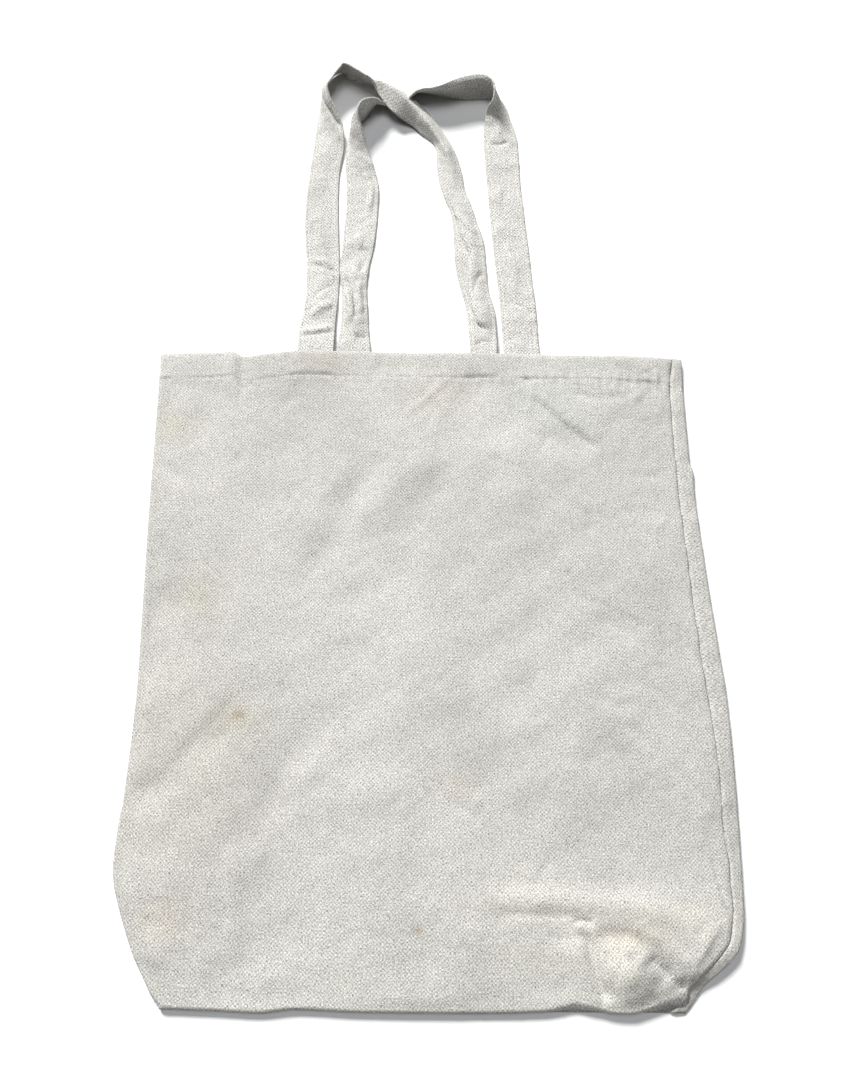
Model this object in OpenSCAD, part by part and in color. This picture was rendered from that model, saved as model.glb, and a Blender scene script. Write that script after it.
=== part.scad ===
// Canvas tote bag with two strap handles, lying flat on its back panel.
// X runs across the bag, Y from the bottom seam towards the handles, Z up from the floor.
// The origin is under the middle of the whole lay, handles included.

/* [Bag] */
// Width across the side seams
bag_w = 380; // [340:1:420]
// Height from the bottom seam to the mouth, laid flat
bag_h = 431; // [380:1:480]
// Length of the straight bottom edge between the boxed corners
bottom_w = 296; // [240:1:320]
// Height of each rounded bottom corner
corner_h = 70; // [50:1:90]
// Thickness of one layer of canvas
cloth = 0.8; // [0.6:0.1:1]
// Gap between the two panels at the middle of the bag
loft = 9; // [8:0.5:14]
// Share of that gap left at the mouth
mouth_share = 0.85; // [0.8:0.05:1]

/* [Seams] */
// Depth of the hem turned in at the mouth
hem_d = 22; // [18:1:30]
// Width of the seam allowances inside the bag
allowance = 8; // [5:1:10]
// Width of the raised line that a row of stitches makes
stitch_w = 0.6; // [0.4:0.1:1]
// How far a stitch stands above the cloth
stitch_h = 0.15; // [0.1:0.05:0.2]

/* [Handles] */
// Thickness of the folded strap
strap_t = 1.8; // [1.4:0.1:2]
// Depth of each strap end sewn in behind the hem
strap_end = 17; // [12:1:20]
// Distance from the strap's edges to their topstitching
topstitch_in = 2.5; // [2:0.5:4]
// Steps between two stations of a handle's route
route_steps = 3; // [1:1:4]

/* [Hidden] */

canvas = "#dddbd2";
canvas_inside = "#cfccc2";
strap_canvas = "#e4e1d8";
thread = "#efece2";

half_w = bag_w / 2;
handle_reach = 268.8;               // farthest point of the handles past the mouth
bottom_y = -(bag_h + handle_reach) / 2;
mouth_y = bottom_y + bag_h;
seam_in = 1.5;                      // seam allowances start this far inside the edge
rows = 30;                          // grid of the front panel, bottom to mouth
cols = 36;                          // and side to side
side_power = 10;                    // how late the front panel drops to its side seams
gap = 0.6;                          // free space between a swinging strap and its sewn end

// Bottom right corner, where the boxed corner stands up under the cloth.
knob = [96, 40];                    // its place, from the middle and from the bottom seam
knob_size = [44, 24];
knob_h = 8;

// Each handle as stations across the strap: outer edge x, y, z, then inner edge x, y, z.
// y counts from the mouth and z from the floor. Along the top the strap stands on its
// outer edge; down both legs it lies flat with its outer face up.
lie = 1.1;                          // middle of a strap that lies on the floor
front_in = loft * mouth_share - strap_t / 2;   // and of a strap sewn inside the front hem
back_in = 2 * cloth + strap_t / 2;             // or inside the back hem
front_route = [
    [-95, 3, front_in, -69, 3, front_in], [-94, 23, 4.4, -69, 23, 4.4], [-91, 48, 1.6, -68, 48, 1.6],
    [-91, 82, lie, -68, 83, lie], [-94, 106, lie, -70, 107, lie], [-95, 134, lie, -71, 136, lie],
    [-94, 164, lie, -70, 167, lie], [-91, 189, lie, -67, 191, 2], [-90, 208, lie, -68, 208, 6],
    [-89, 225, lie, -73, 212, 13], [-87, 240, lie, -80, 222, 19], [-82, 248, lie, -82, 231, 20],
    [-77, 261, lie, -77, 246, 21], [-71, 268, lie, -69, 259, 24], [-65, 261, lie, -63, 251, 24],
    [-57, 259, 1.5, -56, 248, 24], [-48, 258, 5, -46, 235, 22], [-40, 252, 9, -38, 228, 18],
    [-32, 245, 13, -31, 220, 16], [-23, 237, 16, -24, 214, 16], [-13, 229, 14, -16, 207, 11],
    [-3, 221, 9, -8, 204, 5], [6, 210, 6, -1, 199, 2], [13, 199, 4, 4, 194, lie],
    [20, 185, 2, 7, 186, lie], [25, 170, lie, 6, 173, lie], [28, 152, lie, 8, 157, lie],
    [32, 136, lie, 12, 143, lie], [36, 122, lie, 16, 129, lie], [40, 108, lie, 19, 113, lie],
    [42, 93, lie, 20, 96, lie], [43, 77, lie, 21, 78, lie], [44, 61, lie, 24, 62, lie],
    [47, 45, 1.6, 28, 46, 1.6], [49, 29, 3.4, 30, 30, 3.4],
    [50, 3, front_in, 31, 3, front_in]];
back_route = [
    [-67, 3, back_in, -42, 3, back_in], [-66, 24, 1.7, -43, 24, 1.7], [-65, 48, lie, -44, 48, lie],
    [-65, 66, lie, -46, 66, lie], [-66, 90, lie, -43, 91, lie], [-65, 114, lie, -41, 114, lie],
    [-64, 136, lie, -40, 136, lie], [-64, 158, lie, -40, 158, lie], [-66, 175, lie, -44, 173, lie],
    [-65, 187, lie, -46, 182, 3], [-65, 200, lie, -51, 193, 10], [-61, 211, lie, -56, 203, 19],
    [-54, 217, lie, -57, 211, 25], [-46, 228, lie, -48, 215, 22], [-38, 238, lie, -39, 219, 16],
    [-30, 244, lie, -29, 221, 10], [-22, 247, lie, -21, 226, 10], [-14, 250, lie, -13, 235, 15],
    [-5, 246, lie, -5, 231, 20], [7, 244, lie, 6, 230, 22], [17, 242, lie, 16, 233, 25],
    [28, 240, lie, 27, 235, 26], [40, 240, lie, 41, 237, 26], [49, 241, lie, 48, 230, 24],
    [56, 239, lie, 49, 223, 17], [61, 231, lie, 46, 223, 9], [65, 218, lie, 45, 214, 4],
    [68, 204, lie, 44, 201, 1.5], [70, 179, lie, 44, 179, lie], [71, 152, lie, 46, 154, lie],
    [74, 121, lie, 48, 122, lie], [76, 88, lie, 50, 89, lie], [79, 51, lie, 54, 52, lie],
    [80, 28, 1.7, 55, 28, 1.7], [81, 3, back_in, 56, 3, back_in]];

// ---- shape of the panels

// Half the width of the bag at a height above the bottom seam.
function half_at(h) =
    let (s = min(1, h / corner_h))
    bottom_w / 2 + (half_w - bottom_w / 2) * sqrt(1 - (1 - s) * (1 - s));

// How much of the loft is there at a height: none at the bottom seam, less at the mouth.
function rise(h) =
    let (s = min(1, h / (1.3 * corner_h)), m = h / bag_h)
    sqrt(1 - (1 - s) * (1 - s)) * (1 - (1 - mouth_share) * m * m);

// The inside face of the front panel.
function inside_z(x, h) =
    let (u = min(1, abs(x) / half_at(h)),
         a = (x - knob[0]) / knob_size[0],
         b = (h - knob[1]) / knob_size[1])
    cloth + (loft * rise(h) + knob_h * exp(-a * a - b * b) * min(1, h / 20)) * (1 - pow(u, side_power));

// Heights of the grid rows, closer together round the corners.
function row_h(i) = bag_h * pow(i / rows, 1.6);
function col_u(j) = sin(90 * (2 * j / cols - 1));

// Joins rings of points, all the same length, into a closed tube with flat ends.
function tube_faces(n, k) = concat(
    [for (i = [0 : n - 2], j = [0 : k - 1])
        [i * k + j, i * k + (j + 1) % k, (i + 1) * k + (j + 1) % k]],
    [for (i = [0 : n - 2], j = [0 : k - 1])
        [i * k + j, (i + 1) * k + (j + 1) % k, (i + 1) * k + j]],
    [[for (j = [k - 1 : -1 : 0]) j], [for (j = [0 : k - 1]) (n - 1) * k + j]]);

module tube(rings) {
    polyhedron([for (r = rings) each r], tube_faces(len(rings), len(rings[0])), convexity = 6);
}

// A sheet on the grid: the upper points follow a function of the column and row.
module sheet(top, thick) {
    n = len(top);
    k = len(top[0]);
    pts = concat([for (r = top) each r], [for (r = top) each [for (p = r) p - [0, 0, thick]]]);
    below = n * k;
    rim = concat(
        [for (j = [0 : k - 1]) j],
        [for (i = [1 : n - 1]) i * k + k - 1],
        [for (j = [k - 2 : -1 : 0]) (n - 1) * k + j],
        [for (i = [n - 2 : -1 : 1]) i * k]);
    m = len(rim);
    faces = concat(
        [for (i = [0 : n - 2], j = [0 : k - 2]) each [
            [i * k + j, (i + 1) * k + j + 1, i * k + j + 1],
            [i * k + j, (i + 1) * k + j, (i + 1) * k + j + 1],
            [below + i * k + j, below + i * k + j + 1, below + (i + 1) * k + j + 1],
            [below + i * k + j, below + (i + 1) * k + j + 1, below + (i + 1) * k + j]]],
        [for (q = [0 : m - 1]) let (a = rim[q], b = rim[(q + 1) % m]) each [
            [a, b, below + b], [a, below + b, below + a]]]);
    polyhedron(pts, faces, convexity = 6);
}

// The flat outline of a panel.
function outline() = concat(
    [for (i = [0 : 12]) let (h = corner_h * pow(i / 12, 2)) [half_at(h), bottom_y + h]],
    [[half_w, mouth_y], [-half_w, mouth_y]],
    [for (i = [12 : -1 : 0]) let (h = corner_h * pow(i / 12, 2)) [-half_at(h), bottom_y + h]]);

// ---- rows of stitches: a low line through the layers that they hold

module thread_line(points, z_low, z_high) {
    n = len(points);
    rings = [for (i = [0 : n - 1])
        let (a = points[max(0, i - 1)], b = points[min(n - 1, i + 1)],
             d = (b - a) / norm(b - a), s = [-d[1], d[0]] * stitch_w / 2, p = points[i],
             lo = z_low[i], hi = z_high[i])
        [[p[0] + s[0], p[1] + s[1], lo], [p[0] - s[0], p[1] - s[1], lo],
         [p[0] - s[0], p[1] - s[1], hi], [p[0] + s[0], p[1] + s[1], hi]]];
    tube(rings);
}

function along(a, b, n) = [for (i = [0 : n]) a + (b - a) * i / n];
function front_z(p, up) = inside_z(p[0], p[1] - bottom_y) + up;

// ---- handles

function route_point(r, i) = r[max(0, min(len(r) - 1, i))];
function curve(r, i, t) =
    let (a = route_point(r, i - 1), b = route_point(r, i), c = route_point(r, i + 1),
         d = route_point(r, i + 2))
    0.5 * (2 * b + (c - a) * t + (2 * a - 5 * b + 4 * c - d) * t * t
           + (3 * b - 3 * c + d - a) * t * t * t);
function stations(r) = concat(
    [for (i = [0 : len(r) - 2], s = [0 : route_steps - 1]) curve(r, i, s / route_steps)],
    [r[len(r) - 1]]);
function outer_edge(s) = [s[0], mouth_y + s[1], s[2]];
function inner_edge(s) = [s[3], mouth_y + s[4], s[5]];
function middle(s) = (outer_edge(s) + inner_edge(s)) / 2;
function unit(v) = v / norm(v);

// The way the strap's inner face looks at each station.
function face_dir(st, i) =
    unit(cross(middle(st[min(len(st) - 1, i + 1)]) - middle(st[max(0, i - 1)]),
               inner_edge(st[i]) - outer_edge(st[i])));

// A band along the strap between two distances from its outer edge.
module strap_band(route, from, to, thick) {
    st = stations(route);
    tube([for (i = [0 : len(st) - 1])
        let (a = outer_edge(st[i]), w = unit(inner_edge(st[i]) - a),
             wide = norm(inner_edge(st[i]) - a),
             p = a + w * (from < 0 ? wide + from : from),
             q = a + w * (to <= 0 ? wide + to : to),
             o = face_dir(st, i) * thick / 2)
        [p + o, q + o, q - o, p - o]]);
}

module strap(route) {
    strap_band(route, 0, 0, strap_t);
}

module topstitch(route) {
    strap_band(route, topstitch_in, topstitch_in + stitch_w, strap_t + 2 * stitch_h);
    strap_band(route, -topstitch_in - stitch_w, -topstitch_in, strap_t + 2 * stitch_h);
}

// The sewn end of a strap: a flat tab behind the hem, from its two edges and its middle height.
module strap_tab(s) {
    left = min(s[0], s[3]);
    translate([left, mouth_y - strap_end, s[2] - strap_t / 2])
        cube([abs(s[0] - s[3]), strap_end + s[1] - gap, strap_t]);
}

// Stitches round a sewn strap end, through everything there.
module tack(s, z_low, z_high) {
    in = 2.5;
    x0 = min(s[0], s[3]) + in;
    x1 = max(s[0], s[3]) - in;
    y0 = mouth_y - strap_end + in;
    y1 = mouth_y - in;
    for (side = [[[x0, y0], [x1, y0]], [[x0, y1], [x1, y1]]])
        thread_line(side, [z_low, z_low], [z_high, z_high]);
    for (side = [[[x0, y0], [x0, y1]], [[x1, y0], [x1, y1]]])
        thread_line(side, [z_low, z_low], [z_high, z_high]);
}

// ---- sub-parts

module front_panel() {
    color(canvas)
        sheet([for (i = [0 : rows]) let (h = row_h(i)) [for (j = [0 : cols])
            let (x = half_at(h) * col_u(j)) [x, bottom_y + h, inside_z(x, h) + cloth]]], cloth);
}

module back_panel() {
    color(canvas)
        linear_extrude(cloth) polygon(outline());
}

hem_half = half_w - 10;

module front_hem() {
    color(canvas_inside)
        sheet([for (h = [bag_h - hem_d, bag_h - hem_d / 2, bag_h]) [for (j = [0 : 24])
            let (x = hem_half * (j / 12 - 1)) [x, bottom_y + h, inside_z(x, h)]]], cloth);
}

module back_hem() {
    color(canvas_inside)
        translate([-hem_half, mouth_y - hem_d, cloth]) cube([2 * hem_half, hem_d, cloth]);
}

// The two raw edges of a side seam, pressed together inside the bag.
module side_allowance(side) {
    x0 = half_w - seam_in;
    x1 = half_w - seam_in - allowance;
    z0 = cloth;
    rings = [for (h = [corner_h + 4, bag_h - hem_d - 1])
        let (y = bottom_y + h)
        [[side * x0, y, z0], [side * x1, y, z0],
         [side * x1, y, z0 + 1.6 * cloth], [side * x0, y, z0 + 0.5 * cloth]]];
    tube(side > 0 ? rings : [for (r = rings) [r[3], r[2], r[1], r[0]]]);
}

module left_seam_allowance() {
    color(canvas_inside) side_allowance(-1);
}

module right_seam_allowance() {
    color(canvas_inside) side_allowance(1);
}

module bottom_seam_allowance() {
    half = bottom_w / 2 - 10;
    color(canvas_inside)
        tube([for (x = [-half, half])
            let (y0 = bottom_y + seam_in, y1 = y0 + allowance)
            [[x, y0, cloth], [x, y1, cloth], [x, y1, 2.6 * cloth], [x, y0, 1.5 * cloth]]]);
}

// The boxed corner, folded flat inside the bag as a triangle of cloth.
module corner_gusset(side) {
    translate([0, 0, cloth])
        linear_extrude(cloth)
            polygon([for (p = [[0, 0], [24, 2], [34, 34], [27, 52]])
                [side * (bottom_w / 2 - 14 + p[0]), bottom_y + 13 + p[1]]]);
}

module left_corner_gusset() {
    color(canvas_inside) corner_gusset(-1);
}

module right_corner_gusset() {
    color(canvas_inside) corner_gusset(1);
}

module front_hem_thread() {
    y = mouth_y - hem_d + 2;
    pts = along([-hem_half, y], [hem_half, y], 24);
    color(thread)
        thread_line(pts, [for (p = pts) front_z(p, -cloth - stitch_h)],
                    [for (p = pts) front_z(p, cloth + stitch_h)]);
}

module back_hem_thread() {
    y = mouth_y - hem_d + 2;
    pts = [[-hem_half, y], [hem_half, y]];
    color(thread) thread_line(pts, [0, 0], [2 * cloth + stitch_h, 2 * cloth + stitch_h]);
}

module side_thread(side) {
    x = side * (half_w - seam_in - 1);
    pts = [[x, bottom_y + corner_h + 4], [x, mouth_y - hem_d - 1]];
    thread_line(pts, [cloth / 2, cloth / 2], [1.4 * cloth, 1.4 * cloth]);
}

module left_seam_thread() {
    color(thread) side_thread(-1);
}

module right_seam_thread() {
    color(thread) side_thread(1);
}

module bottom_seam_thread() {
    half = bottom_w / 2 - 10;
    y = bottom_y + seam_in + 1;
    color(thread)
        thread_line([[-half, y], [half, y]], [cloth / 2, cloth / 2], [1.4 * cloth, 1.4 * cloth]);
}

// Stitches across a boxed corner, on the triangle's long side.
module corner_thread(side) {
    x = side * (bottom_w / 2 - 14);
    thread_line([[x + side * 5, bottom_y + 20], [x + side * 25, bottom_y + 56]],
                [cloth / 2, cloth / 2], [2 * cloth + stitch_h, 2 * cloth + stitch_h]);
}

module left_corner_thread() {
    color(thread) corner_thread(-1);
}

module right_corner_thread() {
    color(thread) corner_thread(1);
}

front_last = front_route[len(front_route) - 1];
back_last = back_route[len(back_route) - 1];

module front_handle_left_end() {
    color(strap_canvas) strap_tab(front_route[0]);
}

module front_handle_right_end() {
    color(strap_canvas) strap_tab(front_last);
}

module back_handle_left_end() {
    color(strap_canvas) strap_tab(back_route[0]);
}

module back_handle_right_end() {
    color(strap_canvas) strap_tab(back_last);
}

module front_handle_tack_threads() {
    top = cloth + loft * mouth_share + cloth + stitch_h;
    low = front_route[0][2] - strap_t / 2 - stitch_h;
    color(thread) {
        tack(front_route[0], low, top);
        tack(front_last, low, top);
    }
}

module back_handle_tack_threads() {
    top = back_route[0][2] + strap_t / 2 + stitch_h;
    color(thread) {
        tack(back_route[0], 0, top);
        tack(back_last, 0, top);
    }
}

module front_handle() {
    color(strap_canvas) strap(front_route);
}

module front_handle_topstitch() {
    color(thread) topstitch(front_route);
}

module back_handle() {
    color(strap_canvas) strap(back_route);
}

module back_handle_topstitch() {
    color(thread) topstitch(back_route);
}

front_panel();
back_panel();
front_hem();
back_hem();
left_seam_allowance();
right_seam_allowance();
bottom_seam_allowance();
left_corner_gusset();
right_corner_gusset();
front_hem_thread();
back_hem_thread();
left_seam_thread();
right_seam_thread();
bottom_seam_thread();
left_corner_thread();
right_corner_thread();
front_handle_left_end();
front_handle_right_end();
back_handle_left_end();
back_handle_right_end();
front_handle_tack_threads();
back_handle_tack_threads();
front_handle();
front_handle_topstitch();
back_handle();
back_handle_topstitch();
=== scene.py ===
import math

import bpy
import numpy as np
from mathutils import Matrix, Vector


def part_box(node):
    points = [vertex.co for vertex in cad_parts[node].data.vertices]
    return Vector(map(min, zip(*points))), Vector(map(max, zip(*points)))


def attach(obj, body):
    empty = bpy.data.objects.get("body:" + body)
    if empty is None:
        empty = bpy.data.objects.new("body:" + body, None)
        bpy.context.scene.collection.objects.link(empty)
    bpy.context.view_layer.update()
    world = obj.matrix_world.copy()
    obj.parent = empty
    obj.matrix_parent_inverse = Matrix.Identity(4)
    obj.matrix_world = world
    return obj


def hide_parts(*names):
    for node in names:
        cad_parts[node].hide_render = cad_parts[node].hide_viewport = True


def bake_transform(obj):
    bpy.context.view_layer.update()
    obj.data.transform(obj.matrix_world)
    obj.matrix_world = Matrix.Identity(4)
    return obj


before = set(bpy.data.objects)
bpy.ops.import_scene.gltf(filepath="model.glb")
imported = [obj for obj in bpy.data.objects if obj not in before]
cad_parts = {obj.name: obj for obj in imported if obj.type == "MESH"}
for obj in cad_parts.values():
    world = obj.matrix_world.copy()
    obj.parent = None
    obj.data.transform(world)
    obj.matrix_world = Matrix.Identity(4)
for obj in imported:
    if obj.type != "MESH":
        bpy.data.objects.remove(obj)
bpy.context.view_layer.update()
print("frame loaded")

# Shapes are worked out in millimetres and become metres in one place, makeMesh.
mm = 0.001
panelLow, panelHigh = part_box("back_panel")
bottomY = panelLow.y / mm
mouthY = panelHigh.y / mm


# Small tools

def toLinear(hexColour):
    parts = [int(hexColour[i:i + 2], 16) / 255 for i in (1, 3, 5)]
    return [c / 12.92 if c <= 0.04045 else ((c + 0.055) / 1.055) ** 2.4 for c in parts] + [1.0]


def smoothStep(a, b, x):
    t = np.clip((x - a) / (b - a), 0, 1)
    return t * t * (3 - 2 * t)


def smoothThrough(knots, x):
    # a smooth curve through (place, value) pairs that never overshoots them, flat beyond its ends
    k = np.array(knots, float)
    xs, ys = k[:, 0], k[:, 1]
    rise = np.diff(ys) / np.diff(xs)
    before, after = rise[:-1], rise[1:]
    total = np.where(before + after == 0, 1, before + after)
    both = np.where(before * after > 0, 2 * before * after / total, 0)
    slope = np.concatenate([rise[:1], both, rise[-1:]])
    x = np.clip(x, xs[0], xs[-1])
    i = np.clip(np.searchsorted(xs, x) - 1, 0, len(xs) - 2)
    w = xs[i + 1] - xs[i]
    t = (x - xs[i]) / w
    return ((1 + 2 * t) * (1 - t) ** 2 * ys[i] + t * (1 - t) ** 2 * w * slope[i]
            + t * t * (3 - 2 * t) * ys[i + 1] - t * t * (1 - t) * w * slope[i + 1])


def ripple(x, y, size, seed, waves=36):
    # smooth random undulation, about -2 to 2, with that wavelength
    rng = np.random.default_rng(seed)
    total = np.zeros(np.broadcast(x, y).shape)
    for n in range(waves):
        angle = rng.uniform(0, 2 * math.pi)
        k = 2 * math.pi / size * rng.uniform(0.6, 1.5)
        phase = rng.uniform(0, 2 * math.pi)
        total += np.cos(k * (x * math.cos(angle) + y * math.sin(angle)) + phase)
    return total / math.sqrt(waves / 2)


def foldHeight(x, y, fold):
    # one fold: (shape, height, width, its line, length over which its ends fade)
    shape, height, width, line, fade = fold
    line = np.array(line, float)
    best = np.full(x.shape, 1e9)
    side = np.zeros(x.shape)
    along = np.zeros(x.shape)
    start = 0.0
    for a, b in zip(line[:-1], line[1:]):
        d = b - a
        length = math.hypot(*d)
        t = np.clip(((x - a[0]) * d[0] + (y - a[1]) * d[1]) / length ** 2, 0, 1)
        away = np.hypot(x - a[0] - t * d[0], y - a[1] - t * d[1])
        closer = away < best
        turn = d[0] * (y - a[1]) - d[1] * (x - a[0])
        best = np.where(closer, away, best)
        side = np.where(closer, np.sign(turn), side)
        along = np.where(closer, start + t * length, along)
        start += length
    ends = smoothStep(0, fade, along) * smoothStep(0, fade, start - along)
    if shape == "soft":          # a rounded ridge or valley
        form = np.exp(-(best / width) ** 2)
    elif shape == "sharp":       # a crest with an edge
        form = np.exp(-best / width)
    elif shape == "pleat":       # steep on the right of its line, gentle on the left
        form = np.where(side > 0, np.exp(-best / (4 * width)), np.exp(-best / width))
    else:                        # "step": higher on the left of its line
        form = 0.5 * np.tanh(side * best / width) * np.exp(-(best / (9 * width)) ** 2)
    return height * form * ends


def makeMesh(name, grid, uv, closed=False):
    # a sheet from rows of points in millimetres; closed joins each row into a ring
    rows, cols = grid.shape[:2]
    mesh = bpy.data.meshes.new(name)
    i, j = np.meshgrid(np.arange(rows - 1), np.arange(cols if closed else cols - 1), indexing="ij")
    k = (j + 1) % cols
    faces = np.stack([i * cols + j, i * cols + k, (i + 1) * cols + k, (i + 1) * cols + j], -1)
    faces = faces.reshape(-1, 4).tolist()
    if closed:
        faces.append(list(range(cols - 1, -1, -1)))
        faces.append(list(range((rows - 1) * cols, rows * cols)))
    mesh.from_pydata((grid.reshape(-1, 3) * mm).tolist(), [], faces)
    layer = mesh.uv_layers.new(name="cloth")
    corner = np.zeros(len(mesh.loops), np.int32)
    mesh.loops.foreach_get("vertex_index", corner)
    layer.data.foreach_set("uv", (uv.reshape(-1, 2) * mm)[corner].astype(np.float32).ravel())
    mesh.polygons.foreach_set("use_smooth", [True] * len(mesh.polygons))
    thing = bpy.data.objects.new(name, mesh)
    bpy.context.scene.collection.objects.link(thing)
    return thing


def applyModifiers(thing):
    # the evaluated shape becomes the plain mesh
    bpy.context.view_layer.update()
    shape = thing.evaluated_get(bpy.context.evaluated_depsgraph_get())
    mesh = bpy.data.meshes.new_from_object(shape, preserve_all_data_layers=True,
                                           depsgraph=bpy.context.evaluated_depsgraph_get())
    thing.modifiers.clear()
    thing.data = mesh
    return thing


def thicken(thing, thickness):
    # the sheet becomes the middle of the cloth
    wall = thing.modifiers.new("cloth thickness", "SOLIDIFY")
    wall.thickness = thickness * mm
    wall.offset = 0
    wall.use_even_offset = False
    return applyModifiers(thing)


def faceUp(thing, upward=True):
    # turns the whole sheet over if most of it looks the other way
    total = sum(p.normal.z * p.area for p in thing.data.polygons)
    if (total < 0) if upward else (total > 0):
        thing.data.flip_normals()
    return thing


# Bag: outline and height

bag = {
    "cloth": 0.7,            # thickness of one layer
    "height": 431.0,         # bottom seam to mouth
    "lean": 0.0132,          # how far the bag leans sideways for each millimetre up
    "leanFrom": 204.0,       # height at which the lean crosses the middle
    "edgeRound": 2.3,        # radius of the rolled side and bottom edges
    "edgeHeight": 5.0,       # top of the bag near its edges
    "middleHeight": 8.0,     # and in the middle
    "rollUnder": 7.0,        # left seam rolled to the underside
    "frontClearance": 0.5,   # middle of the cloth stays this far off the floor
    "backClearance": 0.36,
    "hemDepth": 22.0,
    "hemLine": 20.5,         # row of stitches below the mouth
    "foldGain": 1.8,         # strength of all the creases of the front
}
leftEdge = [(-2, -147), (0, -150), (3, -154.5), (8, -160), (19, -166.5), (30, -173), (46, -180),
            (59, -185), (70, -188.5), (81, -190), (105, -189), (118, -187.5), (183, -185.5),
            (241, -187), (317, -189), (380, -190), (434, -191)]
rightEdge = [(-2, 146), (0, 149), (5, 154), (14, 161), (24, 173), (30, 180), (35, 184.5), (45, 188),
             (56, 190), (80, 191.5), (133, 193.5), (183, 194), (218, 192), (273, 189),
             (331, 187), (343, 187.8), (348, 185.6), (356, 185.8), (402, 186), (420, 187), (434, 187.5)]
seamLine = [(-2, 139), (5, 146), (14, 153), (24, 164), (32, 173), (41, 180), (61, 183.5), (87, 184),
            (107, 182.5), (128, 184), (174, 182.5), (218, 179.5), (273, 177.5), (331, 175.8),
            (402, 176.5), (429, 180), (434, 180.5)]
mouthLine = [(-192, 431.3), (-150, 432), (-138, 432.6), (-134.5, 430.6), (-131, 428.6), (-110, 430.8),
             (-90, 432.8), (-40, 433.4), (20, 432.6), (60, 433), (100, 432), (130, 430.2),
             (160, 429.6), (190, 429)]
# lifted front edge of the bottom, highest over the boxed corner on the right
bottomLine = [(-160, 1.8), (-120, 0.6), (-96, -0.4), (-72, 1.6), (-35, 0.3), (25, 0.2), (66, 1.2),
              (76, 3.5), (82, 5.6), (90, 4.2), (98, 2.4), (106, 0.6), (116, 0.4), (124, 2.8),
              (132, 7), (142, 11.5), (150, 14), (158, 15.5), (170, 17)]
# how far the bottom edge is turned under, side to side
turnedUnder = [(-150, 1.5), (150, 1.5), (160, 6), (175, 16)]

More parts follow.
